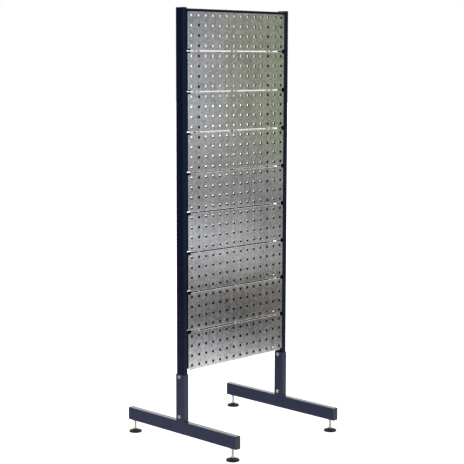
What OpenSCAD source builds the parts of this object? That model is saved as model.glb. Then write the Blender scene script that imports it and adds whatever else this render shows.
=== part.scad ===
// Free-standing double-sided perforated panel stand.
// Origin: centre of the footprint on the floor. +Z up, front faces -Y, +X to the viewer's right.
// All sizes in millimetres.

/* [Panels] */
// Hole pitch, across and up
pitch = 38; // [30:1:50]
// Columns of holes in a panel
cols = 14; // [6:1:20]
// Rows of holes in one panel
rows = 4; // [2:1:6]
// Side of a square hole
hole_w = 10; // [6:0.5:14]
// Panels stacked on each side
panel_count = 9; // [9:1:9]
// Gap between neighbouring panels
seam_gap = 4; // [2:0.5:8]
// Sheet thickness
sheet_t = 1.2; // [0.8:0.1:2]
// Depth of the folded flanges
flange_d = 9.5; // [8:0.5:15]
// Width of the corner notch
notch_w = 13; // [8:1:18]
// Height of the corner notch
notch_h = 6; // [4:1:10]
// Distance between the outer faces of front and back panels
stack_d = 42; // [34:1:60]

/* [Uprights] */
// Width of an upright, along X
upright_w = 20; // [16:1:40]
// Depth of an upright, along Y
upright_d = 40; // [25:1:60]
// Wall of the uprights
upright_t = 1.5; // [1:0.1:3]
// Gap from the panel edge to the upright
side_gap = 4.5; // [2:0.5:10]
// Height of the upright above the panel stack
upright_over = 8; // [7:1:40]
// Outer corner radius of all tubes
tube_r = 2; // [1:0.5:3]

/* [Base] */
// Height of a foot tube
base_h = 50; // [35:1:80]
// Width of a foot tube
base_w = 25; // [25:1:50]
// Overall length of a foot
base_l = 600; // [400:10:900]
// Wall of the foot tubes and sleeves
base_t = 2; // [1.5:0.1:3]
// Gap from the top of the foot tube to the bottom of the panel stack
stack_lift = 197; // [120:1:400]
// Length of the sleeve that holds the upright
sleeve_l = 184; // [90:1:300]
// Clearance between upright and sleeve, each side
sleeve_gap = 0.5; // [0.2:0.1:1]

/* [Levelling feet] */
// Height of the foot tube above the floor
ground_gap = 48; // [40:1:70]
// Radius of a pad
pad_r = 25; // [18:1:40]
// Height of the pad rim
pad_rim = 6; // [3:0.5:8]
// Overall height of a pad
pad_h = 11; // [11:0.5:20]
// Distance of the feet from the tube ends
foot_inset = 27; // [20:1:60]
// Stud thread radius
stud_r = 5; // [4:0.5:6]
// Length of thread above the hex collar
stud_l = 55; // [50:1:60]

/* [Hardware] */
// Bolt radius
bolt_r = 4; // [3:0.5:5]
// Distance of the upper bolt below the sleeve top
bolt_top = 9.5; // [8:0.5:30]
// Distance of the lower bolt above the foot tube
bolt_low = 18; // [12:1:40]

/* [Hidden] */
$fn = 64;
eps = 0.5;             // overshoot of cutting solids
touch = 0.05;          // gap left between pieces that bear on each other
run_gap = 0.05;        // radial clearance of turning fits

// panel stack
module_h = rows * pitch;
stack_w = cols * pitch;
panel_w = stack_w - 2;
panel_h = module_h - seam_gap;
stack_h = panel_count * module_h;
base_top = ground_gap + base_h;
stack_z0 = base_top + stack_lift;
stack_z1 = stack_z0 + stack_h;

// uprights and sleeves
upright_in = panel_w / 2 + side_gap;
upright_x = upright_in + upright_w / 2;
upright_z1 = stack_z1 + upright_over;
cap_t = 3;
plug_h = 12;
plug_gap = 0.1;
sleeve_w = upright_w + 2 * (sleeve_gap + base_t);
sleeve_d = upright_d + 2 * (sleeve_gap + base_t);
sleeve_out = upright_x + sleeve_w / 2;
base_x = sleeve_out - base_w / 2;
feet_y = base_l / 2 - foot_inset;

// top rail
rail_t = 1.5;
rail_gap = 0.3;
rail_lip = 10.5;
rail_z1 = stack_z1 + 3.6;
rail_d = stack_d + 2 * (rail_gap + rail_t);

// straps welded across the rear edges of the flanges, three behind each side
strap_w = 12;
strap_t = 1.5;
strap_beside_column = 8;
strap_x = (cols - 3) / 2 * pitch - strap_beside_column;
strap_z0 = stack_z0 + 12;
strap_z1 = stack_z1 - pitch;

// pins that carry the panels, from the uprights into the side flanges
pin_r = 2.5;
pin_gap = 0.2;
pin_reach = 5;
pin_in = (sheet_t + flange_d) / 2;

// levelling feet
ball_r = 3 + stud_r / 2;
ball_z = ball_r + 1;
neck_r = 0.8 * stud_r;
hex_z = pad_h + 1;
hex_h = 5;
hex_af = 14;
pad_boss_r = stud_r + 5;
insert_r = stud_r + 2;
flange_r = 11;
flange_h = 1.5;
insert_h = 14;

// clamp bolts
head_af = 13;
head_h = 5.3;
nut_h = 6.5;
bolt_out = 2;
bolt_z = [base_top + bolt_low, base_top + sleeve_l - bolt_top];

navy = [0.10, 0.13, 0.22];
steel = [0.62, 0.63, 0.62];
zinc = [0.78, 0.79, 0.80];
plastic = [0.16, 0.16, 0.17];

// ---- shared shapes ----
module rounded(w, d, r) {
  square([w - 2 * r, d], center = true);
  square([w, d - 2 * r], center = true);
  for (sx = [-1, 1], sy = [-1, 1])
    translate([sx * (w / 2 - r), sy * (d / 2 - r)]) circle(r);
}

module tube(w, d, t, h) {
  linear_extrude(h) difference() {
    rounded(w, d, tube_r);
    rounded(w - 2 * t, d - 2 * t, max(tube_r - t, 0.4));
  }
}

module hexagon(af, h) {
  cylinder(h = h, r = af / 2 / cos(30), $fn = 6);
}

// closing plug of a tube end: plate with a hollow skirt below it, plate top at z = 0
module plug(w, d, t) {
  translate([0, 0, -cap_t]) linear_extrude(cap_t) rounded(w, d, tube_r);
  pw = w - 2 * t - 2 * plug_gap;
  pd = d - 2 * t - 2 * plug_gap;
  translate([0, 0, -cap_t - plug_h]) linear_extrude(plug_h) difference() {
    rounded(pw, pd, 0.6);
    square([pw - 3, pd - 3], center = true);
  }
}

module bolt_holes(r, len) {
  for (z = bolt_z)
    translate([-len / 2, 0, z]) rotate([0, 90, 0]) cylinder(h = len, r = r);
}

// ---- frame ----
module upright(side) {
  color(navy) translate([side * upright_x, 0, 0]) difference() {
    translate([0, 0, base_top + touch])
      tube(upright_w, upright_d, upright_t, upright_z1 - cap_t - base_top - 2 * touch);
    bolt_holes(bolt_r + 0.2, upright_w + 2 * eps);
  }
}

module upright_cap(side) {
  color(plastic) translate([side * upright_x, 0, upright_z1])
    plug(upright_w, upright_d, upright_t);
}

module top_rail() {
  len = 2 * (upright_in - touch);
  color(navy) difference() {
    translate([-len / 2, -rail_d / 2, rail_z1 - rail_lip]) cube([len, rail_d, rail_lip]);
    translate([-len / 2 - eps, -rail_d / 2 + rail_t, rail_z1 - rail_lip - eps])
      cube([len + 2 * eps, rail_d - 2 * rail_t, rail_lip - rail_t + eps]);
  }
}

// ---- panels ----
// folded tray, outer face at y = 0, flanges towards +y, centred on x, bottom edge at z = 0
module tray() {
  w = panel_w;
  h = panel_h;
  x_end = w / 2 - notch_w;
  difference() {
    union() {
      translate([-w / 2, 0, notch_h]) cube([w, sheet_t, h - 2 * notch_h]);
      translate([-x_end, 0, 0]) cube([2 * x_end, sheet_t, h]);
      for (z = [0, h - sheet_t]) translate([-x_end, 0, z]) cube([2 * x_end, flange_d, sheet_t]);
      for (x = [-w / 2, w / 2 - sheet_t])
        translate([x, 0, notch_h]) cube([sheet_t, flange_d, h - 2 * notch_h]);
    }
    for (i = [0 : cols - 1], j = [0 : rows - 1])
      translate([(i - (cols - 1) / 2) * pitch - hole_w / 2, -eps,
                 (j - (rows - 1) / 2) * pitch + h / 2 - hole_w / 2])
        cube([hole_w, sheet_t + 2 * eps, hole_w]);
    for (x = [-w / 2 - eps, w / 2 - sheet_t - eps])
      translate([x, pin_in, h / 2]) rotate([0, 90, 0])
        cylinder(h = sheet_t + 2 * eps, r = pin_r + pin_gap);
  }
}

function panel_z(n) = stack_z1 - n * module_h + seam_gap / 2;

module panel_front(n) {
  color(steel) translate([0, -stack_d / 2, panel_z(n)]) tray();
}

module panel_back(n) {
  color(steel) translate([0, stack_d / 2, panel_z(n)]) rotate([0, 0, 180]) tray();
}

// end = -1 behind the front panels, 1 behind the back panels
module strap(x, end) {
  color(steel) translate([x, end * (stack_d / 2 - flange_d - touch - strap_t / 2), (strap_z0 + strap_z1) / 2])
    cube([strap_w, strap_t, strap_z1 - strap_z0], center = true);
}

module panel_pins(side) {
  x0 = panel_w / 2 - sheet_t - pin_reach;
  x1 = upright_in - touch;
  color(navy) for (n = [1 : panel_count], end = [-1, 1])
    translate([side * (x0 + x1) / 2, end * (stack_d / 2 - pin_in), panel_z(n) + panel_h / 2])
      rotate([0, 90, 0]) cylinder(h = x1 - x0, r = pin_r, center = true);
}

// ---- feet ----
module sleeve(side) {
  color(navy) translate([side * upright_x, 0, 0]) difference() {
    translate([0, 0, base_top + touch]) tube(sleeve_w, sleeve_d, base_t, sleeve_l - touch);
    bolt_holes(bolt_r + 0.2, sleeve_w + 2 * eps);
  }
}

module base_tube(side) {
  len = base_l - 2 * cap_t - 2 * touch;
  color(navy) difference() {
    translate([side * base_x, len / 2, ground_gap + base_h / 2]) rotate([90, 0, 0])
      tube(base_w, base_h, base_t, len);
    for (y = [-feet_y, feet_y])
      translate([side * base_x, y, ground_gap - eps])
        cylinder(h = base_t + 2 * eps, r = insert_r + touch);
  }
}

module base_cap(side, end) {
  color(plastic) translate([side * base_x, end * base_l / 2, ground_gap + base_h / 2])
    rotate([end > 0 ? -90 : 90, 0, 0]) plug(base_w, base_h, base_t);
}

module insert(side, end) {
  color(zinc) translate([side * base_x, end * feet_y, ground_gap]) difference() {
    union() {
      translate([0, 0, -flange_h]) cylinder(h = flange_h - touch, r = flange_r);
      translate([0, 0, -flange_h]) cylinder(h = flange_h + insert_h, r = insert_r);
    }
    translate([0, 0, -flange_h - eps])
      cylinder(h = flange_h + insert_h + 2 * eps, r = stud_r);
  }
}

module pad(side, end) {
  sock_r = ball_r + run_gap;
  color(plastic) translate([side * base_x, end * feet_y, 0]) difference() {
    rotate_extrude() polygon([[0, 0], [pad_r - 0.8, 0], [pad_r, 0.8], [pad_r, pad_rim - 1],
      [pad_r - 1, pad_rim], [pad_boss_r, pad_h], [0, pad_h]]);
    translate([0, 0, ball_z]) sphere(sock_r);
    translate([0, 0, ball_z]) cylinder(h = pad_h - ball_z + eps, r = neck_r + run_gap);
  }
}

module stud(side, end) {
  color(zinc) translate([side * base_x, end * feet_y, 0]) {
    translate([0, 0, ball_z]) sphere(ball_r);
    translate([0, 0, ball_z]) cylinder(h = hex_z - ball_z + 1, r = neck_r);
    translate([0, 0, hex_z]) hexagon(hex_af, hex_h);
    translate([0, 0, hex_z + hex_h - 1]) cylinder(h = stud_l + 1, r = stud_r - run_gap);
  }
}

// ---- clamp hardware, heads outboard and nuts inboard ----
module clamp_bolts() {
  shank = sleeve_w + nut_h + bolt_out;
  color(zinc) for (side = [-1, 1], z = bolt_z)
    translate([side * sleeve_out, 0, z]) rotate([0, side * 90, 0]) {
      translate([0, 0, touch]) hexagon(head_af, head_h);
      translate([0, 0, -shank]) cylinder(h = shank + 1, r = bolt_r);
    }
}

module clamp_nuts() {
  color(zinc) for (side = [-1, 1], z = bolt_z)
    translate([side * (sleeve_out - sleeve_w), 0, z]) rotate([0, side * -90, 0])
      translate([0, 0, touch]) difference() {
        hexagon(head_af, nut_h);
        translate([0, 0, -eps]) cylinder(h = nut_h + 2 * eps, r = bolt_r + run_gap);
      }
}

// ---- nodes ----
module upright_left() upright(-1);
module upright_right() upright(1);
module upright_cap_left() upright_cap(-1);
module upright_cap_right() upright_cap(1);
module panel_front_1() panel_front(1);
module panel_front_2() panel_front(2);
module panel_front_3() panel_front(3);
module panel_front_4() panel_front(4);
module panel_front_5() panel_front(5);
module panel_front_6() panel_front(6);
module panel_front_7() panel_front(7);
module panel_front_8() panel_front(8);
module panel_front_9() panel_front(9);
module panel_back_1() panel_back(1);
module panel_back_2() panel_back(2);
module panel_back_3() panel_back(3);
module panel_back_4() panel_back(4);
module panel_back_5() panel_back(5);
module panel_back_6() panel_back(6);
module panel_back_7() panel_back(7);
module panel_back_8() panel_back(8);
module panel_back_9() panel_back(9);
module strap_front_left() strap(-strap_x, -1);
module strap_front_centre() strap(0, -1);
module strap_front_right() strap(strap_x, -1);
module strap_back_left() strap(-strap_x, 1);
module strap_back_centre() strap(0, 1);
module strap_back_right() strap(strap_x, 1);
module panel_pins_left() panel_pins(-1);
module panel_pins_right() panel_pins(1);
module sleeve_left() sleeve(-1);
module sleeve_right() sleeve(1);
module base_tube_left() base_tube(-1);
module base_tube_right() base_tube(1);
module base_cap_left_front() base_cap(-1, -1);
module base_cap_left_back() base_cap(-1, 1);
module base_cap_right_front() base_cap(1, -1);
module base_cap_right_back() base_cap(1, 1);
module insert_left_front() insert(-1, -1);
module insert_left_back() insert(-1, 1);
module insert_right_front() insert(1, -1);
module insert_right_back() insert(1, 1);
module pad_left_front() pad(-1, -1);
module pad_left_back() pad(-1, 1);
module pad_right_front() pad(1, -1);
module pad_right_back() pad(1, 1);
module stud_left_front() stud(-1, -1);
module stud_left_back() stud(-1, 1);
module stud_right_front() stud(1, -1);
module stud_right_back() stud(1, 1);

upright_left();
upright_right();
upright_cap_left();
upright_cap_right();
top_rail();
panel_front_1();
panel_front_2();
panel_front_3();
panel_front_4();
panel_front_5();
panel_front_6();
panel_front_7();
panel_front_8();
panel_front_9();
panel_back_1();
panel_back_2();
panel_back_3();
panel_back_4();
panel_back_5();
panel_back_6();
panel_back_7();
panel_back_8();
panel_back_9();
strap_front_left();
strap_front_centre();
strap_front_right();
strap_back_left();
strap_back_centre();
strap_back_right();
panel_pins_left();
panel_pins_right();
sleeve_left();
sleeve_right();
base_tube_left();
base_tube_right();
base_cap_left_front();
base_cap_left_back();
base_cap_right_front();
base_cap_right_back();
insert_left_front();
insert_left_back();
insert_right_front();
insert_right_back();
clamp_bolts();
clamp_nuts();
pad_left_front();
pad_left_back();
pad_right_front();
pad_right_back();
stud_left_front();
stud_left_back();
stud_right_front();
stud_right_back();
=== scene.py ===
# %% [markdown]
# # A double-sided perforated panel stand
# This lesson dresses a workshop stand. Two dark blue uprights on T feet carry nine folded steel panels
# on each side, and four levelling feet carry the whole stand. The measured frame is loaded first. It
# decides where every piece goes, so nothing here is placed by eye.

# %% Load the frame
import math

import bpy
from mathutils import Matrix, Vector


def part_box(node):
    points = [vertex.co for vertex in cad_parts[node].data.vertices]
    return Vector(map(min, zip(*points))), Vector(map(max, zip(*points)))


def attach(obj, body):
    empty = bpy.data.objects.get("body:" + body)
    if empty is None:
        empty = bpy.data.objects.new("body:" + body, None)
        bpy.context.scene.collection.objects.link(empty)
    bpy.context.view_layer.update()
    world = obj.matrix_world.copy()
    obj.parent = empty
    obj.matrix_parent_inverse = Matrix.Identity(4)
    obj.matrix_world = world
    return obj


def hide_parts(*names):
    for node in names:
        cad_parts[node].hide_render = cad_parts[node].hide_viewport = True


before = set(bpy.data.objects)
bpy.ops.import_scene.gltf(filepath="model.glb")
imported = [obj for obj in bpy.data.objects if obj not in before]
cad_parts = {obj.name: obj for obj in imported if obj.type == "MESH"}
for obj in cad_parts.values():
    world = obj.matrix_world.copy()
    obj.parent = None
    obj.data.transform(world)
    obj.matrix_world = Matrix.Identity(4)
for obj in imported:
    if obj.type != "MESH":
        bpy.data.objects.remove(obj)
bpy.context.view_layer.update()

MM = 0.001

# %% [markdown]
# ## Small helpers
# Operators act on whatever is selected, so each helper clears the selection first. Edit-mode work
# needs the right vertices, edges or faces, and they are picked here by where they are, which a
# reader can check against the drawing. Modifiers are applied at once, so what is left is plain mesh.


# %% Selecting and applying
def clear_selection():
    if bpy.context.mode != "OBJECT":
        bpy.ops.object.mode_set(mode="OBJECT")
    bpy.ops.object.select_all(action="DESELECT")


def make_active(piece):
    clear_selection()
    piece.select_set(True)
    bpy.context.view_layer.objects.active = piece


def pick(piece, kind, test):
    """Enters edit mode with only the vertices, edges or faces that pass the test."""
    make_active(piece)
    mesh = piece.data
    for group in (mesh.vertices, mesh.edges, mesh.polygons):
        group.foreach_set("select", [False] * len(group))
    points = [v.co for v in mesh.vertices]
    if kind == "VERT":
        chosen = [v for v in mesh.vertices if test(v.co)]
    elif kind == "EDGE":
        chosen = [e for e in mesh.edges if test(points[e.vertices[0]], points[e.vertices[1]])]
    else:
        chosen = [f for f in mesh.polygons if test(f.center, f.normal)]
    for item in chosen:
        item.select = True
    bpy.ops.object.mode_set(mode="EDIT")
    bpy.ops.mesh.select_mode(type=kind)
    return len(chosen)


def leave_edit():
    bpy.ops.object.mode_set(mode="OBJECT")


def apply_modifier(piece, kind, **settings):
    make_active(piece)
    modifier = piece.modifiers.new(kind.title(), kind)
    for name, value in settings.items():
        setattr(modifier, name, value)
    bpy.ops.object.modifier_apply(modifier=modifier.name)


def fix_normals(piece):
    pick(piece, "FACE", lambda centre, normal: True)
    bpy.ops.mesh.normals_make_consistent(inside=False)
    leave_edit()


print("helpers ready")


# %% Naming, placing and copying
def name_piece(piece, name):
    piece.name = name
    piece.data.name = name
    return piece


def settle(piece):
    """Moves the object's own place into its mesh."""
    make_active(piece)
    bpy.ops.object.transform_apply(location=True, rotation=True, scale=True)


def copy_to(piece, name, place):
    twin = bpy.data.objects.new(name, piece.data.copy())
    bpy.context.collection.objects.link(twin)
    twin.data.name = name
    twin.data.transform(place)
    return twin


def remove(*pieces):
    clear_selection()
    for piece in pieces:
        piece.select_set(True)
    bpy.ops.object.delete()


def smooth(piece, degrees=35):
    """Smooths the shading, with large faces kept flat right up to their rounded edges."""
    make_active(piece)
    bpy.ops.object.shade_smooth_by_angle(angle=math.radians(degrees))
    apply_modifier(piece, "WEIGHTED_NORMAL", weight=50, keep_sharp=True)


def round_edges(piece, width, segments, degrees):
    """Rounds every edge that turns by more than the given angle."""
    apply_modifier(piece, "BEVEL", width=width, segments=segments, limit_method="ANGLE",
                   angle_limit=math.radians(degrees))


def cut_with(piece, operation, tool):
    apply_modifier(piece, "BOOLEAN", operation=operation, solver="EXACT", object=tool)
    remove(tool)


def join(name, *pieces):
    make_active(pieces[0])
    for piece in pieces[1:]:
        piece.select_set(True)
    bpy.ops.object.join()
    return name_piece(pieces[0], name)


def node_middle(node):
    low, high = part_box(node)
    return (low + high) / 2, high - low


print("middle of the first front panel:", [round(v, 4) for v in node_middle("panel_front_1")[0]])

# %% [markdown]
# ## Turned shapes
# Pads, collars and weld beads are round about an axis. They could be drawn as a curve and lathed, but
# extruding a ring again and again, and resizing it each time, is the same as turning it by hand and
# keeps clean rows of quads. Each step of the outline is a radius and a height.


# %% Turn a ring through an outline
def turned(name, outline, sides):
    """Makes a closed round shape from steps of radius and height in millimetres."""
    clear_selection()
    radius, height = outline[0]
    bpy.ops.mesh.primitive_circle_add(
        vertices=sides, radius=radius * MM, fill_type="NGON", location=(0, 0, height * MM))
    piece = name_piece(bpy.context.active_object, name)
    settle(piece)
    pick(piece, "FACE", lambda centre, normal: True)
    for next_radius, next_height in outline[1:]:
        bpy.ops.mesh.extrude_region_move(
            TRANSFORM_OT_translate={"value": (0, 0, (next_height - height) * MM)})
        grow = next_radius / radius
        bpy.ops.transform.resize(value=(grow, grow, 1), center_override=(0, 0, next_height * MM))
        radius, height = next_radius, next_height
    leave_edit()
    fix_normals(piece)
    return piece


trial = turned("trial", [(10, 0), (10, 5), (6, 8)], 24)
print("a turned trial piece has", len(trial.data.polygons), "faces")
remove(trial)

# %% [markdown]
# ## Finishes
# Every finish is made from nodes that read object coordinates, so it keeps its real scale in metres on
# every piece. A powder coat is a plastic skin with a fine orange peel. The frame's one navy coat is made
# twice: a deep copy for the uprights, pins and rail, and a paler, shinier copy for the sleeves, foot
# tubes and welds, whose paler colour is painted light bounced up from the floor.
# Zinc-coated sheet shows crystals, called spangle, and faint rolling lines. Bright zinc on screws has
# a thin, slightly coloured bloom, and the moulded parts have a fine matt grain.


# %% Node helpers
def new_finish(name):
    finish = bpy.data.materials.new(name)
    finish.use_nodes = True
    nodes = finish.node_tree.nodes
    nodes.clear()
    shader = nodes.new("ShaderNodeBsdfPrincipled")
    output = nodes.new("ShaderNodeOutputMaterial")
    finish.node_tree.links.new(shader.outputs["BSDF"], output.inputs["Surface"])
    return finish, finish.node_tree, shader


def object_space(tree, scale=(1, 1, 1)):
    where = tree.nodes.new("ShaderNodeTexCoord")
    stretch = tree.nodes.new("ShaderNodeMapping")
    stretch.inputs["Scale"].default_value = scale
    tree.links.new(where.outputs["Object"], stretch.inputs["Vector"])
    return stretch.outputs["Vector"]


def noise(tree, vector, scale, detail=2.0, roughness=0.5):
    node = tree.nodes.new("ShaderNodeTexNoise")
    node.inputs["Scale"].default_value = scale
    node.inputs["Detail"].default_value = detail
    node.inputs["Roughness"].default_value = roughness
    tree.links.new(vector, node.inputs["Vector"])
    return node.outputs["Fac"]


def cells(tree, vector, scale):
    node = tree.nodes.new("ShaderNodeTexVoronoi")
    node.inputs["Scale"].default_value = scale
    tree.links.new(vector, node.inputs["Vector"])
    grey = tree.nodes.new("ShaderNodeSeparateColor")
    tree.links.new(node.outputs["Color"], grey.inputs["Color"])
    return grey.outputs["Red"]


def combine_values(tree, kind, first, second, added=0.0):
    node = tree.nodes.new("ShaderNodeMath")
    node.operation = kind
    for socket, value in zip(node.inputs, (first, second, added)):
        if isinstance(value, (int, float)):
            socket.default_value = value
        else:
            tree.links.new(value, socket)
    return node.outputs["Value"]


def colour_steps(tree, factor, *steps):
    node = tree.nodes.new("ShaderNodeValToRGB")
    ramp = node.color_ramp
    while len(ramp.elements) < len(steps):
        ramp.elements.new(0.5)
    for element, (place, colour) in zip(ramp.elements, steps):
        element.position = place
        element.color = (*colour, 1)
    tree.links.new(factor, node.inputs["Fac"])
    return node.outputs["Color"]


def spread(tree, factor, low, high):
    node = tree.nodes.new("ShaderNodeMapRange")
    node.inputs["To Min"].default_value = low
    node.inputs["To Max"].default_value = high
    tree.links.new(factor, node.inputs["Value"])
    return node.outputs["Result"]


def add_bump(tree, shader, height, strength, distance):
    node = tree.nodes.new("ShaderNodeBump")
    node.inputs["Strength"].default_value = strength
    node.inputs["Distance"].default_value = distance
    tree.links.new(height, node.inputs["Height"])
    tree.links.new(node.outputs["Normal"], shader.inputs["Normal"])


print("node helpers ready")


# %% Dark blue powder coats
def make_powder_coat(name, dark, light, rough_low, rough_high, shine):
    finish, tree, shader = new_finish(name)
    here = object_space(tree)
    cloud = noise(tree, here, 9, 3)
    tree.links.new(colour_steps(tree, cloud, (0.3, dark), (0.7, light)), shader.inputs["Base Color"])
    peel = noise(tree, here, 620, 2)
    rough = spread(tree, noise(tree, here, 60, 3), rough_low, rough_high)
    tree.links.new(rough, shader.inputs["Roughness"])
    shader.inputs["Specular IOR Level"].default_value = shine
    add_bump(tree, shader, peel, 0.12, 0.0003)
    return finish


deep_coat = make_powder_coat("deep_blue_powder_coat", (0.0003, 0.0026, 0.014), (0.0008, 0.0040, 0.020),
                             0.16, 0.24, 0.24)
# The paler copy's colour is painted light: the same navy made lighter for the light the floor throws up
# onto the low parts.
floor_lit_coat = make_powder_coat("floor_lit_blue_powder_coat", (0.0034, 0.0080, 0.034), (0.0056, 0.0110, 0.044),
                             0.20, 0.28, 0.72)
print(deep_coat.name, floor_lit_coat.name)


# %% Zinc-coated sheet
def make_sheet_steel():
    finish, tree, shader = new_finish("zinc_coated_sheet")
    here = object_space(tree)
    rolled = object_space(tree, (1.0, 1.0, 0.08))
    spangle = cells(tree, here, 130)
    crystal = noise(tree, here, 260, 3, 0.6)
    streak = noise(tree, rolled, 60, 3, 0.6)
    patch = noise(tree, here, 5, 2)
    mixed = combine_values(tree, "MULTIPLY_ADD", patch, 0.5, 0.25)
    mixed = combine_values(tree, "MULTIPLY_ADD", spangle, 0.55, mixed)
    mixed = combine_values(tree, "MULTIPLY_ADD", crystal, 0.9, mixed)
    mixed = combine_values(tree, "MULTIPLY_ADD", streak, 0.5, mixed)
    mixed = combine_values(tree, "MULTIPLY", mixed, 0.5)
    tone = colour_steps(tree, mixed, (0.56, (0.53, 0.535, 0.52)), (0.74, (0.74, 0.74, 0.735)),
                        (0.92, (0.95, 0.945, 0.95)))
    tree.links.new(tone, shader.inputs["Base Color"])
    shader.inputs["Metallic"].default_value = 1.0
    sheen = combine_values(tree, "MULTIPLY_ADD", spangle, 0.5, streak)
    tree.links.new(spread(tree, sheen, 0.045, 0.09), shader.inputs["Roughness"])
    add_bump(tree, shader, crystal, 0.08, 0.0002)
    return finish


sheet_steel = make_sheet_steel()
print(sheet_steel.name, len(sheet_steel.node_tree.nodes), "nodes")


# %% Painted shade on the inside of the panels
def make_shaded_inner_face():
    finish, tree, shader = new_finish("painted_shade_inner_face")
    here = object_space(tree)
    # The near-black tone is painted shade: the inside of the tray is the same zinc sheet, made dark for
    # the shade inside it.
    tone = colour_steps(tree, noise(tree, here, 180, 3, 0.6), (0.35, (0.010, 0.010, 0.010)),
                        (0.65, (0.018, 0.018, 0.017)))
    tree.links.new(tone, shader.inputs["Base Color"])
    shader.inputs["Specular IOR Level"].default_value = 0.2
    tree.links.new(spread(tree, noise(tree, here, 60, 3), 0.45, 0.60), shader.inputs["Roughness"])
    add_bump(tree, shader, noise(tree, here, 700, 2), 0.2, 0.0002)
    return finish


shaded_inner_steel = make_shaded_inner_face()
print(shaded_inner_steel.name)


# %% Bright zinc on screws and nuts
def make_bright_zinc():
    finish, tree, shader = new_finish("bright_zinc")
    here = object_space(tree)
    bloom = noise(tree, here, 140, 3)
    tone = colour_steps(tree, bloom, (0.3, (0.74, 0.76, 0.79)), (0.55, (0.85, 0.86, 0.86)),
                        (0.8, (0.92, 0.91, 0.88)))
    tree.links.new(tone, shader.inputs["Base Color"])
    shader.inputs["Metallic"].default_value = 1.0
    tree.links.new(spread(tree, noise(tree, here, 900, 2), 0.22, 0.40), shader.inputs["Roughness"])
    add_bump(tree, shader, noise(tree, here, 2400, 2), 0.15, 0.0001)
    return finish


bright_zinc = make_bright_zinc()
print(bright_zinc.name, len(bright_zinc.node_tree.nodes), "nodes")


# %% Moulded plastic, grey for caps and black for pads
def make_moulded(name, dark, light, grain_scale, rough_low, rough_high, shine):
    finish, tree, shader = new_finish(name)
    here = object_space(tree)
    tone = colour_steps(tree, noise(tree, here, 70, 3), (0.3, dark), (0.7, light))
    tree.links.new(tone, shader.inputs["Base Color"])
    rough = spread(tree, noise(tree, here, 260, 2), rough_low, rough_high)
    tree.links.new(rough, shader.inputs["Roughness"])
    shader.inputs["Specular IOR Level"].default_value = shine
    add_bump(tree, shader, noise(tree, here, grain_scale, 3), 0.3, 0.0003)
    return finish


cap_plastic = make_moulded("grey_cap_plastic", (0.024, 0.024, 0.026), (0.036, 0.036, 0.038),
                           1100, 0.42, 0.56, 0.4)
pad_plastic = make_moulded("black_pad_plastic", (0.006, 0.006, 0.006), (0.013, 0.013, 0.013),
                           800, 0.40, 0.60, 0.15)
print(cap_plastic.name, pad_plastic.name)

# %% [markdown]
# ## Finishes on the frame's own tubes
# The uprights, sleeves, foot tubes, pins, straps and inserts already have their true shape, with
# rounded corners and real wall thickness. They keep it and take a finish only.


# %% Paint the frame's own pieces
def set_finish(piece, finish):
    piece.data.materials.clear()
    piece.data.materials.append(finish)


CARRIED = {
    deep_coat: ("upright_left", "upright_right", "panel_pins_"),
    # The sleeves and foot tubes take the paler coat, whose lighter colour is painted floor light.
    floor_lit_coat: ("sleeve_", "base_tube_"),
    sheet_steel: ("strap_",),
    bright_zinc: ("insert_",),
}
for finish, starts in CARRIED.items():
    chosen = [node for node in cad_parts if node.startswith(starts)]
    for node in chosen:
        set_finish(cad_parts[node], finish)
    print(finish.name, "on", len(chosen), "frame pieces")

# %% [markdown]
# ## The folded panels
# Each panel is a shallow tray folded from one sheet, with a grid of punched square holes. The tray
# could be cut from a block, but starting from a flat grid with one cell for each hole gives exact
# holes with a single inset. The rim is then pulled back for the flanges, the folds are rounded as a
# press leaves them, the sheet gets its thickness, and the corners are notched last.

# %% Panel sizes
HOLE_PITCH = 38 * MM
HOLE_SIDE = 10 * MM
HOLE_COLUMNS, HOLE_ROWS = 14, 4
SHEET = 1.2 * MM
FOLD_RADIUS = 1.8 * MM
PANEL_EDGE = 0.18 * MM
NOTCH = Vector((13, 6)) * MM
PANELS = 9

panel_low, panel_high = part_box("panel_front_1")
panel_size = panel_high - panel_low
half_w, half_h, flange = panel_size.x / 2, panel_size.z / 2, panel_size.y
print("panel in mm:", [round(v / MM, 2) for v in panel_size])

# %% Punch the holes
clear_selection()
bpy.ops.mesh.primitive_grid_add(x_subdivisions=HOLE_COLUMNS, y_subdivisions=HOLE_ROWS, size=1)
tray = name_piece(bpy.context.active_object, "panel")
pick(tray, "FACE", lambda centre, normal: True)
bpy.ops.transform.resize(value=(HOLE_COLUMNS * HOLE_PITCH, HOLE_ROWS * HOLE_PITCH, 1),
                         center_override=(0, 0, 0))
bpy.ops.mesh.inset(thickness=(HOLE_PITCH - HOLE_SIDE) / 2, use_individual=True)
bpy.ops.mesh.delete(type="FACE")
leave_edit()
print("sheet with holes:", len(tray.data.polygons), "faces")

# %% Trim the rim to size
grid_w, grid_h = HOLE_COLUMNS * HOLE_PITCH / 2, HOLE_ROWS * HOLE_PITCH / 2
TINY = 0.05 * MM
pick(tray, "VERT", lambda co: abs(abs(co.x) - grid_w) < TINY)
bpy.ops.transform.resize(value=(half_w / grid_w, 1, 1), center_override=(0, 0, 0))
leave_edit()
pick(tray, "VERT", lambda co: abs(abs(co.y) - grid_h) < TINY)
bpy.ops.transform.resize(value=(1, half_h / grid_h, 1), center_override=(0, 0, 0))
leave_edit()


def on_rim(a, b):
    same_x = abs(a.x - b.x) < TINY and abs(abs(a.x) - half_w) < TINY
    same_y = abs(a.y - b.y) < TINY and abs(abs(a.y) - half_h) < TINY
    return same_x or same_y


print("rim edges:", pick(tray, "EDGE", on_rim))

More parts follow.
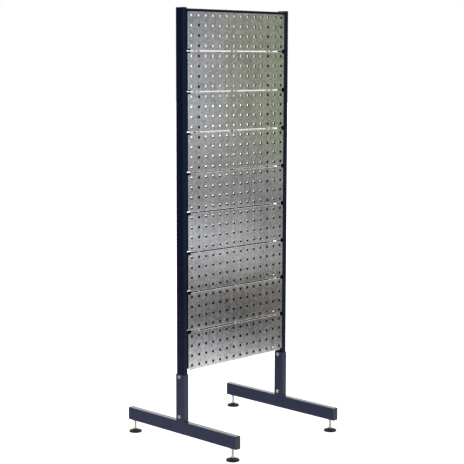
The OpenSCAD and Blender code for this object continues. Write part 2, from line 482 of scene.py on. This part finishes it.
# %% Fold the flanges and round the folds
bpy.ops.mesh.extrude_region_move(TRANSFORM_OT_translate={"value": (0, 0, -flange)})
leave_edit()
folds = pick(tray, "EDGE", lambda a, b: on_rim(a, b) and abs(a.z) < TINY and abs(b.z) < TINY)
bpy.ops.mesh.bevel(offset=FOLD_RADIUS, segments=4, affect="EDGES")
leave_edit()
fix_normals(tray)
apply_modifier(tray, "SOLIDIFY", thickness=SHEET, offset=-1, use_even_offset=True)
print("folded edges:", folds, "faces now:", len(tray.data.polygons))

# %% Cutters for the notches and the pin holes
FIT = 0.2 * MM
PIN_RADIUS = 2.5 * MM
pins_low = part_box("panel_pins_right")[0]
pin_depth = pins_low.y + PIN_RADIUS - panel_low.y
cutters = []
for side_x in (-1, 1):
    for side_y in (-1, 1):
        clear_selection()
        corner = (side_x * half_w, side_y * half_h, -flange / 2)
        bpy.ops.mesh.primitive_cube_add(size=1, location=corner)
        cutters.append(bpy.context.active_object)
        cutters[-1].scale = (2 * NOTCH.x, 2 * NOTCH.y, 3 * flange)
    clear_selection()
    bpy.ops.mesh.primitive_cylinder_add(vertices=32, radius=PIN_RADIUS + FIT, depth=4 * SHEET,
                                        location=(side_x * half_w, 0, -pin_depth),
                                        rotation=(0, math.pi / 2, 0))
    cutters.append(bpy.context.active_object)
cutter = join("cutter", *cutters)
settle(cutter)
print("cutters:", len(cutters), "pin depth in mm:", round(pin_depth / MM, 2))

# %% Cut the panel and finish its edges
cut_with(tray, "DIFFERENCE", cutter)
round_edges(tray, PANEL_EDGE, 2, 40)
smooth(tray)
set_finish(tray, sheet_steel)
# Faces on the inside of the tray take the second finish, the near-black painted shade.
tray.data.materials.append(shaded_inner_steel)
NEARLY = 0.9
for face in tray.data.polygons:
    spot = face.center
    behind = spot.z < -NEARLY * SHEET
    inside = abs(spot.x) < half_w - NEARLY * SHEET and abs(spot.y) < half_h - NEARLY * SHEET
    face.material_index = 1 if behind and inside else 0
tray.rotation_euler = (math.pi / 2, 0, 0)
settle(tray)
print("finished panel:", len(tray.data.polygons), "faces")

# %% Hang the panels
for side, turn in (("front", 0), ("back", math.pi)):
    for number in range(1, PANELS + 1):
        node = f"panel_{side}_{number}"
        middle, size = node_middle(node)
        face_y = middle.y + (size.y / 2 if turn else -size.y / 2)
        place = Matrix.Translation((middle.x, face_y, middle.z)) @ Matrix.Rotation(turn, 4, "Z")
        panel = copy_to(tray, f"{side}_panel_{number}", place)
        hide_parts(node)
        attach(panel, "frame")
remove(tray)
print("panels hung:", 2 * PANELS)

# %% [markdown]
# ## The top rail
# A folded channel lies over the top edges of both skins. A cube without its bottom and ends is the
# channel's outside, and rounding its two long edges before it gets a wall keeps the wall even.

# %% Fold the top rail
rail_middle, rail_size = node_middle("top_rail")
RAIL_WALL = 1.5 * MM
RAIL_FOLD_RADIUS = 2.2 * MM
RAIL_EDGE = 0.3 * MM
clear_selection()
bpy.ops.mesh.primitive_cube_add(size=1, location=rail_middle)
rail = name_piece(bpy.context.active_object, "top_rail_channel")
rail.scale = rail_size
settle(rail)
pick(rail, "FACE", lambda centre, normal: normal.z < -0.5 or abs(normal.x) > 0.5)
bpy.ops.mesh.delete(type="ONLY_FACE")
leave_edit()
top_z = rail_middle.z + rail_size.z / 2
pick(rail, "EDGE", lambda a, b: a.z > top_z - TINY and b.z > top_z - TINY and abs(a.x - b.x) > TINY)
bpy.ops.mesh.bevel(offset=RAIL_FOLD_RADIUS, segments=4, affect="EDGES")
leave_edit()
apply_modifier(rail, "SOLIDIFY", thickness=RAIL_WALL, offset=-1, use_even_offset=True)
round_edges(rail, RAIL_EDGE, 2, 40)
smooth(rail)
set_finish(rail, deep_coat)
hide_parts("top_rail")
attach(rail, "frame")
print("rail faces:", len(rail.data.polygons))

# %% [markdown]
# ## Tube caps
# A moulded cap closes each open tube end. It has a plate with a softened rim and a hollow skirt that
# grips inside the tube. The plate is a cube with rounded corners, and the skirt is an inset and an
# extrusion from its hidden side, hollowed the same way. An inset wider than the corner radius would
# cross itself there, so those points are merged into one sharp corner.


# %% Mould a cap
CORNER_RADIUS = 2 * MM
CORNER_MERGE = 0.3 * MM
SKIRT_WALL = 1.5 * MM
RIM_WIDTH, DISH_DEPTH = 0.9 * MM, 0.25 * MM
CAP_EDGE = 0.35 * MM


def tube_cap(name, width, depth, plate, skirt, wall):
    clear_selection()
    bpy.ops.mesh.primitive_cube_add(size=1, location=(0, 0, -plate / 2))
    cap = name_piece(bpy.context.active_object, name)
    cap.scale = (width, depth, plate)
    settle(cap)
    pick(cap, "EDGE", lambda a, b: abs(a.z - b.z) > TINY)
    bpy.ops.mesh.bevel(offset=CORNER_RADIUS, segments=5, affect="EDGES")
    leave_edit()
    pick(cap, "FACE", lambda centre, normal: normal.z < -0.5)
    bpy.ops.mesh.inset(thickness=wall)
    if wall > CORNER_RADIUS:
        bpy.ops.mesh.remove_doubles(threshold=CORNER_MERGE)
    bpy.ops.mesh.extrude_region_move(TRANSFORM_OT_translate={"value": (0, 0, -skirt)})
    bpy.ops.mesh.inset(thickness=SKIRT_WALL)
    bpy.ops.mesh.extrude_region_move(TRANSFORM_OT_translate={"value": (0, 0, skirt)})
    leave_edit()
    pick(cap, "FACE", lambda centre, normal: normal.z > 0.5 and centre.z > -TINY)
    bpy.ops.mesh.inset(thickness=RIM_WIDTH)
    bpy.ops.transform.translate(value=(0, 0, -DISH_DEPTH))
    leave_edit()
    round_edges(cap, CAP_EDGE, 3, 50)
    smooth(cap, 40)
    set_finish(cap, cap_plastic)
    return cap


CAP_PLATE = 3 * MM
TOP_CAP_WALL, FOOT_CAP_WALL = 1.7 * MM, 2.1 * MM
cap_size = node_middle("upright_cap_left")[1]
top_skirt = cap_size.z - CAP_PLATE
top_cap = tube_cap("cap", cap_size.x, cap_size.y, CAP_PLATE, top_skirt, TOP_CAP_WALL)
print("cap faces:", len(top_cap.data.polygons))

# %% Fit the caps
for side in ("left", "right"):
    node = f"upright_cap_{side}"
    middle, size = node_middle(node)
    cap = copy_to(top_cap, f"top_cap_{side}", Matrix.Translation(middle + Vector((0, 0, size.z / 2))))
    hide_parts(node)
    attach(cap, "frame")
remove(top_cap)

foot_size = node_middle("base_cap_left_front")[1]
foot_skirt = foot_size.y - CAP_PLATE
foot_cap = tube_cap("cap", foot_size.x, foot_size.z, CAP_PLATE, foot_skirt, FOOT_CAP_WALL)
for side in ("left", "right"):
    for end, turn in (("front", 1), ("back", -1)):
        node = f"base_cap_{side}_{end}"
        middle, size = node_middle(node)
        outer = middle + Vector((0, -turn * size.y / 2, 0))
        place = Matrix.Translation(outer) @ Matrix.Rotation(turn * math.pi / 2, 4, "X")
        cap = copy_to(foot_cap, f"foot_cap_{side}_{end}", place)
        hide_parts(node)
        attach(cap, "frame")
remove(foot_cap)
print("six caps fitted")

# %% [markdown]
# ## Screw threads
# A thread is a saw-tooth outline wound along a helix. The outline of one turn is drawn by extruding a
# single point, and the Screw modifier winds it. The open helix is closed at both ends and then cut to
# length by a chamfered bar, which gives the flat, bevelled ends of a real screw.


# %% Wind a thread
# Depth, flat and flank of the saw-tooth are shares of the pitch.
DEPTH_SHARE, FLAT_SHARE, FLANK_SHARE = 0.6, 0.12, 0.38
SCREW_MERGE, THREAD_MERGE = 1e-6, 2e-6


def threaded_bar(name, radius, pitch, low, high, sides=20):
    depth = DEPTH_SHARE * pitch
    turns = math.ceil((high - low) / pitch) + 3
    start = low - 2 * pitch
    clear_selection()
    bpy.ops.mesh.primitive_plane_add(size=1 * MM, location=(0, 0, 0))
    thread = name_piece(bpy.context.active_object, name)
    pick(thread, "VERT", lambda co: True)
    bpy.ops.mesh.merge(type="CENTER")
    bpy.ops.transform.translate(value=(radius - depth, 0, start))
    for outward, rise in ((0, FLAT_SHARE), (depth, FLANK_SHARE), (0, FLAT_SHARE), (-depth, FLANK_SHARE)):
        step = (outward, 0, rise * pitch)
        bpy.ops.mesh.extrude_region_move(TRANSFORM_OT_translate={"value": step})
    leave_edit()
    apply_modifier(thread, "SCREW", axis="Z", angle=math.tau, screw_offset=pitch, iterations=turns,
                   steps=sides, render_steps=sides, use_merge_vertices=True, merge_threshold=SCREW_MERGE)
    pick(thread, "VERT", lambda co: True)
    bpy.ops.mesh.remove_doubles(threshold=THREAD_MERGE)
    bpy.ops.mesh.select_all(action="DESELECT")
    bpy.ops.mesh.select_mode(type="EDGE")
    bpy.ops.mesh.select_non_manifold()
    bpy.ops.mesh.fill_holes(sides=0)
    leave_edit()
    fix_normals(thread)
    chamfer = 0.8 * depth / MM
    wide = radius / MM + 0.02
    blank = turned("blank", [(wide - chamfer, low / MM), (wide, low / MM + chamfer),
                             (wide, high / MM - chamfer), (wide - chamfer, high / MM)], 40)
    cut_with(thread, "INTERSECT", blank)
    return thread


trial = threaded_bar("trial", 4.95 * MM, 1.5 * MM, 0, 12 * MM)
print("trial thread:", len(trial.data.polygons), "faces,", [round(v / MM, 2) for v in trial.dimensions])
remove(trial)


# %% [markdown]
# ## Hexagons
# A hexagon head or nut starts as a six-sided bar. The corners of a real one are cut back by a cone,
# which leaves the curved bright edges seen on every bolt. Cutting the bar with a turned blank gives
# exactly those curves.


# %% Cut a hexagon
HEX_EDGE = 0.2 * MM


def corner_radius_of(across_flats):
    return across_flats / 2 / math.cos(math.pi / 6)


def hexagon(name, across_flats, low, high, chamfer, both_ends=True):
    corner = corner_radius_of(across_flats)
    clear_selection()
    bpy.ops.mesh.primitive_cylinder_add(vertices=6, radius=corner, depth=high - low,
                                        location=(0, 0, (low + high) / 2))
    bar = name_piece(bpy.context.active_object, name)
    settle(bar)
    end_radius = across_flats / 2 * 0.97
    clear = corner * 1.01
    rise = (corner - end_radius) * chamfer
    outline = [(end_radius if both_ends else clear, low), (clear, low + rise), (clear, high - rise),
               (end_radius, high)]
    if not both_ends:
        outline = outline[:1] + outline[2:]
    blank = turned("blank", [(r / MM, z / MM) for r, z in outline], 72)
    cut_with(bar, "INTERSECT", blank)
    round_edges(bar, HEX_EDGE, 2, 50)
    return bar


# %% [markdown]
# ## Levelling feet
# Each foot is a zinc stud with a hexagon to turn it, standing in a round moulded pad. The stud's ball
# sits inside the pad, so only a sliver of its neck shows. Both are built at the stand's middle and
# copied to the four places where the frame has them.

# %% Model one stud
STUD_RADIUS = 4.95 * MM
THREAD_PITCH = 1.5 * MM
HEX_LOW, HEX_HIGH, HEX_FLATS = 12 * MM, 17 * MM, 14 * MM
stud_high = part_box("stud_left_front")[1]
stud_thread = threaded_bar("stud", STUD_RADIUS, THREAD_PITCH, HEX_HIGH - 0.5 * MM, stud_high.z)
stud_hex = hexagon("hex", HEX_FLATS, HEX_LOW, HEX_HIGH, 0.55)
ball = turned("ball", [(0.6, 1.08), (2.2, 1.5), (3.9, 2.65), (5.1, 4.5), (5.45, 6.5), (5.1, 8.5),
                       (4.3, 9.85), (3.95, 10.3), (3.95, 12.3)], 32)
collar = turned("collar", [(4.9, 16.9), (5.9, 17.0), (5.6, 17.4), (4.9, 17.7)], 40)
stud = join("stud", stud_thread, stud_hex, ball, collar)
smooth(stud, 32)
set_finish(stud, bright_zinc)
print("stud faces:", len(stud.data.polygons))

# %% Model one pad
pad = turned("pad", [(22.0, 0.0), (23.9, 0.0), (24.7, 0.35), (25.0, 1.0), (25.0, 4.6), (24.75, 5.4),
                     (24.1, 5.9), (23.2, 6.05), (22.6, 6.1), (22.1, 6.45), (17.0, 8.3), (12.6, 9.8),
                     (10.4, 10.6), (9.9, 10.9), (9.3, 11.0), (5.4, 11.0), (4.7, 10.85), (4.2, 10.5),
                     (4.15, 10.3), (4.9, 9.2), (5.5, 7.5), (5.6, 6.5), (5.3, 4.7), (4.3, 2.9),
                     (2.7, 1.6), (0.7, 0.95)], 72)
smooth(pad, 40)
set_finish(pad, pad_plastic)
print("pad faces:", len(pad.data.polygons))

# %% Stand the feet in their places
for side in ("left", "right"):
    for end in ("front", "back"):
        spot = f"{side}_{end}"
        middle = node_middle(f"pad_{spot}")[0]
        place = Matrix.Translation((middle.x, middle.y, 0))
        for model, label, finish_slot in ((stud, "stud", "zinc_steel"), (pad, "pad", "pad_plastic")):
            foot = copy_to(model, f"foot_{label}_{spot}", place)
            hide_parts(f"{label}_{spot}")
            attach(foot, f"{label}_{spot}")
remove(stud, pad)
print("eight foot pieces placed")

# %% [markdown]
# ## Clamp bolts
# Two bolts go through each sleeve and the upright inside it, with the heads outboard and nuts inboard.
# Only the head, the nut and the last thread or two can be seen, but the shank is there as well. The
# last cut does not open the nut as it should: its ends stay closed around the end of the bolt.

# %% Model one bolt and one nut
BOLT_RADIUS = 4 * MM
BOLT_PITCH = 1.25 * MM
HEAD_FLATS, HEAD_HEIGHT, NUT_HEIGHT = 13 * MM, 5.3 * MM, 6.5 * MM
bolt_low, bolt_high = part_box("clamp_bolts")
sleeve_low, sleeve_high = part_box("sleeve_right")
SHANK_LENGTH, PLAIN_LENGTH = 33.5 * MM, 20 * MM
THREAD_PLAY = 0.02 * MM
NUT_GAP, HEAD_GAP = 0.05 * MM, 0.55 * MM
bolt_thread = threaded_bar("bolt", BOLT_RADIUS - THREAD_PLAY, BOLT_PITCH, -SHANK_LENGTH, -PLAIN_LENGTH)
bolt_shank = turned("shank", [(3.9, -20.5), (3.9, 0.3)], 32)
bolt_head = hexagon("head", HEAD_FLATS, HEAD_GAP, HEAD_HEIGHT, 0.5, both_ends=False)
washer_face = turned("washer_face", [(6.1, 0.05), (6.2, 0.15), (6.2, 0.6)], 48)
bolt = join("bolt", bolt_head, bolt_thread, bolt_shank, washer_face)
smooth(bolt, 32)
set_finish(bolt, bright_zinc)
nut = hexagon("nut", HEAD_FLATS, NUT_GAP, NUT_HEIGHT, 0.5)
bore = turned("bore", [(5.0, -0.2), (4.05, 0.7), (4.05, NUT_HEIGHT / MM - 0.7),
                       (5.0, NUT_HEIGHT / MM + 0.2)], 40)
cut_with(nut, "DIFFERENCE", bore)
smooth(nut, 32)
set_finish(nut, bright_zinc)
print("bolt faces:", len(bolt.data.polygons), "nut faces:", len(nut.data.polygons))

# %% Fit the bolts and nuts
head_corner = corner_radius_of(HEAD_FLATS)
low_z = bolt_low.z + head_corner
high_z = bolt_high.z - head_corner
print("bolt heights in mm:", round(low_z / MM, 2), round(high_z / MM, 2))
for side, way in (("left", -1), ("right", 1)):
    outer, inner = way * sleeve_high.x, way * sleeve_low.x
    for level, z in (("low", low_z), ("high", high_z)):
        turn = Matrix.Rotation(way * math.pi / 2, 4, "Y")
        head = copy_to(bolt, f"bolt_{side}_{level}", Matrix.Translation((outer, 0, z)) @ turn)
        back = Matrix.Rotation(-way * math.pi / 2, 4, "Y")
        end = copy_to(nut, f"nut_{side}_{level}", Matrix.Translation((inner, 0, z)) @ back)
        for piece, node in ((head, "clamp_bolts"), (end, "clamp_nuts")):
            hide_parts(node)
            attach(piece, "frame")
remove(bolt, nut)
print("four bolts and nuts fitted")

# %% [markdown]
# ## Weld beads
# Each sleeve is welded to its foot tube at the front and the back. A fillet weld is a row of small
# ripples, so the bead is a bar turned with a rippled outline, laid into the corner and half sunk.

# %% Lay the beads
RIPPLES = 14
BEAD_TIP, BEAD_CREST, BEAD_DIP = 0.4, 1.9, 1.55
BEAD_MARGIN = 4
bead_length = (sleeve_high.x - sleeve_low.x) / MM - BEAD_MARGIN
outline = [(BEAD_TIP, 0.0)]
for step in range(RIPPLES):
    outline.append((BEAD_CREST, (step + 0.35) * bead_length / RIPPLES))
    outline.append((BEAD_DIP, (step + 0.95) * bead_length / RIPPLES))
outline.append((BEAD_TIP, bead_length))
bead = turned("bead", outline, 16)
smooth(bead, 60)
# The beads take the paler coat, whose lighter colour is painted floor light.
set_finish(bead, floor_lit_coat)
for side, way in (("left", -1), ("right", 1)):
    x_start = way * (sleeve_low.x + sleeve_high.x) / 2 - bead_length / 2 * MM
    for end, y in (("front", sleeve_low.y), ("back", sleeve_high.y)):
        place = Matrix.Translation((x_start, y, sleeve_low.z)) @ Matrix.Rotation(math.pi / 2, 4, "Y")
        weld = copy_to(bead, f"weld_{side}_{end}", place)
        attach(weld, "frame")
remove(bead)
print("four beads laid")

# %% [markdown]
# ## Floor and surroundings
# The stand is shown on a plain pale floor under broad soft light. Bare metal shows whatever it faces,
# so the surroundings matter more than any lamp. A few softboxes could do it, but painting the whole
# sky with smooth ramps is simpler and leaves nothing in the way of other viewpoints. The sky is light
# all round, lightest to the back right, bright overhead and grey below the horizon. A narrow part to
# the back left is dark, for the outer sides of the uprights. To the front right it has bands of grey
# by height, which the panels mirror towards the camera. The camera itself sees plain white. The floor
# glows a little, as a light table does, so that the feet throw hardly any shadow. It is left out of
# mirror-like reflections, which show the sky below the horizon in its place.

# %% Floor
FLOOR_SIZE = 60
FLOOR_GLOW = 0.35
clear_selection()
bpy.ops.mesh.primitive_plane_add(size=FLOOR_SIZE, location=(0, 0, 0))
floor = name_piece(bpy.context.active_object, "floor")
floor_finish, tree, shader = new_finish("pale_floor")
shader.inputs["Base Color"].default_value = (0.90, 0.90, 0.90, 1)
shader.inputs["Roughness"].default_value = 0.8
shader.inputs["Emission Color"].default_value = (1, 1, 1, 1)
shader.inputs["Emission Strength"].default_value = FLOOR_GLOW
set_finish(floor, floor_finish)
floor.visible_glossy = False
print("floor ready")

# %% Sky helpers
world = bpy.data.worlds.new("studio")
bpy.context.scene.world = world
world.use_nodes = True
sky = world.node_tree
sky.nodes.clear()
direction = sky.nodes.new("ShaderNodeTexCoord").outputs["Generated"]
RAMP_REACH = 20


def along(x, y, z, low, high):
    """Rises smoothly from 0 to 1 as the direction's share along (x, y, z) goes from low to high."""
    dot = sky.nodes.new("ShaderNodeVectorMath")
    dot.operation = "DOT_PRODUCT"
    dot.inputs[1].default_value = (x, y, z)
    sky.links.new(direction, dot.inputs[0])
    step = sky.nodes.new("ShaderNodeMapRange")
    step.interpolation_type = "SMOOTHSTEP"
    step.inputs["From Min"].default_value = low
    step.inputs["From Max"].default_value = high
    sky.links.new(dot.outputs["Value"], step.inputs["Value"])
    return step.outputs["Result"]


def by_height(*steps):
    """A ramp over elevation. Each step is an angle above the horizon in degrees and a colour."""
    reach = math.sin(math.radians(RAMP_REACH))
    height = sky.nodes.new("ShaderNodeSeparateXYZ")
    sky.links.new(direction, height.inputs["Vector"])
    place = sky.nodes.new("ShaderNodeMapRange")
    place.inputs["From Min"].default_value = -reach
    place.inputs["From Max"].default_value = reach
    sky.links.new(height.outputs["Z"], place.inputs["Value"])
    stops = [((math.sin(math.radians(angle)) / reach + 1) / 2, colour) for angle, colour in steps]
    return colour_steps(sky, place.outputs["Result"], *stops)


def blend_colours(factor, first, second):
    node = sky.nodes.new("ShaderNodeMix")
    node.data_type = "RGBA"
    sockets = {s.identifier: s for s in node.inputs}
    for name, value in (("Factor_Float", factor), ("A_Color", first), ("B_Color", second)):
        if isinstance(value, tuple):
            sockets[name].default_value = (*value, 1)
        else:
            sky.links.new(value, sockets[name])
    return [s for s in node.outputs if s.identifier == "Result_Color"][0]


def shade(value, tint=(1, 1, 1)):
    return tuple(value * part for part in tint)


print("sky helpers ready")

# %% Paint the part that the panels mirror
DIAGONAL = math.sqrt(0.5)
BACK_RIGHT = (DIAGONAL, DIAGONAL, 0)
BACK_LEFT = (-DIAGONAL, DIAGONAL, 0)
FRONT_RIGHT = (DIAGONAL, -DIAGONAL, 0)
UP, DOWN = (0, 0, 1), (0, 0, -1)
COOL, BROWN = (0.98, 1.0, 1.09), (1.12, 1.0, 0.86)
OLIVE, PALE_OLIVE = (1.02, 1.11, 0.80), (1.02, 1.06, 0.88)
front_left = by_height((-13.6, shade(0.95)), (-12.7, shade(0.50, COOL)), (-11.9, shade(0.24, COOL)),
                       (-11.1, shade(0.20)), (-10.3, shade(0.24)), (-9.4, shade(0.35)),
                       (-8.6, shade(0.55, COOL)), (-7.7, shade(0.61, COOL)), (-6.9, shade(0.44, COOL)),
                       (-6.1, shade(0.32)), (-5.2, shade(0.40)), (-2.2, shade(0.53, COOL)),
                       (1.6, shade(0.37, COOL)), (18, shade(0.45)))
front_middle = by_height((-13.6, shade(0.95)), (-12.7, shade(0.45)), (-11.9, shade(0.12, COOL)),
                         (-11.1, shade(0.10)), (-10.3, shade(0.14, BROWN)), (-9.4, shade(0.31)),
                         (-8.6, shade(0.54)), (-7.7, shade(0.50)), (-6.9, shade(0.39)),
                         (-6.1, shade(0.28)), (-5.2, shade(0.31)), (-2.6, shade(0.355, PALE_OLIVE)),
                         (1.6, shade(0.31, PALE_OLIVE)), (18, shade(0.42)))
front_right = by_height((-14.2, shade(0.95)), (-12.7, shade(0.35)), (-11.9, shade(0.20)),
                        (-11.1, shade(0.155, BROWN)), (-10.3, shade(0.15, BROWN)), (-9.4, shade(0.25)),
                        (-8.6, shade(0.36)), (-7.7, shade(0.32)), (-6.9, shade(0.26)),
                        (-6.1, shade(0.25)), (-5.2, shade(0.31)), (-3.5, shade(0.30, OLIVE)),
                        (-0.1, shade(0.32, OLIVE)), (1.6, shade(0.29, OLIVE)), (18, shade(0.40)))
front = blend_colours(along(*BACK_RIGHT, -0.018, 0.012), front_left, front_middle)
front = blend_colours(along(*BACK_RIGHT, 0.015, 0.047), front, front_right)
print("three ramps for the front right")

# %% Put the sky together
# The first line is the base, and each line after it lays a tone over the part of the sky it names.
STEEP_LOW, STEEP_HIGH = math.sin(math.radians(11.8)), math.sin(math.radians(13.2))
around = blend_colours(along(*BACK_RIGHT, -0.5, 0.5), shade(0.95), shade(1.6))
around = blend_colours(along(*DOWN, 0, 0.10), around, shade(0.42))
around = blend_colours(along(*BACK_LEFT, 0.90, 0.96), around, shade(0.09))
around = blend_colours(along(*DOWN, STEEP_LOW, STEEP_HIGH), around, shade(0.5))
around = blend_colours(along(*FRONT_RIGHT, 0.55, 0.85), around, front)
around = blend_colours(along(*UP, 0.20, 0.60), around, shade(1.4))
seen_directly = sky.nodes.new("ShaderNodeLightPath").outputs["Is Camera Ray"]
around = blend_colours(seen_directly, around, shade(1.0))
background = sky.nodes.new("ShaderNodeBackground")
output = sky.nodes.new("ShaderNodeOutputWorld")
sky.links.new(around, background.inputs["Color"])
sky.links.new(background.outputs["Background"], output.inputs["Surface"])
print("sky painted with", len(sky.nodes), "nodes")

# %% [markdown]
# ## Camera
# The stand is seen from its front left, at about eye height, through a long lens.

# %% Camera
camera_data = bpy.data.cameras.new("camera")
camera = bpy.data.objects.new("camera", camera_data)
bpy.context.collection.objects.link(camera)
camera_data.sensor_width = 36
camera_data.lens = 101.6
yaw, pitch, roll = math.radians(-45.518), math.radians(7.533), math.radians(0.138)
camera.location = (-3.6507, -3.5746, 1.4817)
camera.rotation_euler = (math.pi / 2 - pitch, -roll, yaw)
camera_data.clip_end = 100
bpy.context.scene.camera = camera
bpy.context.scene.view_settings.view_transform = "Standard"
print("camera ready")
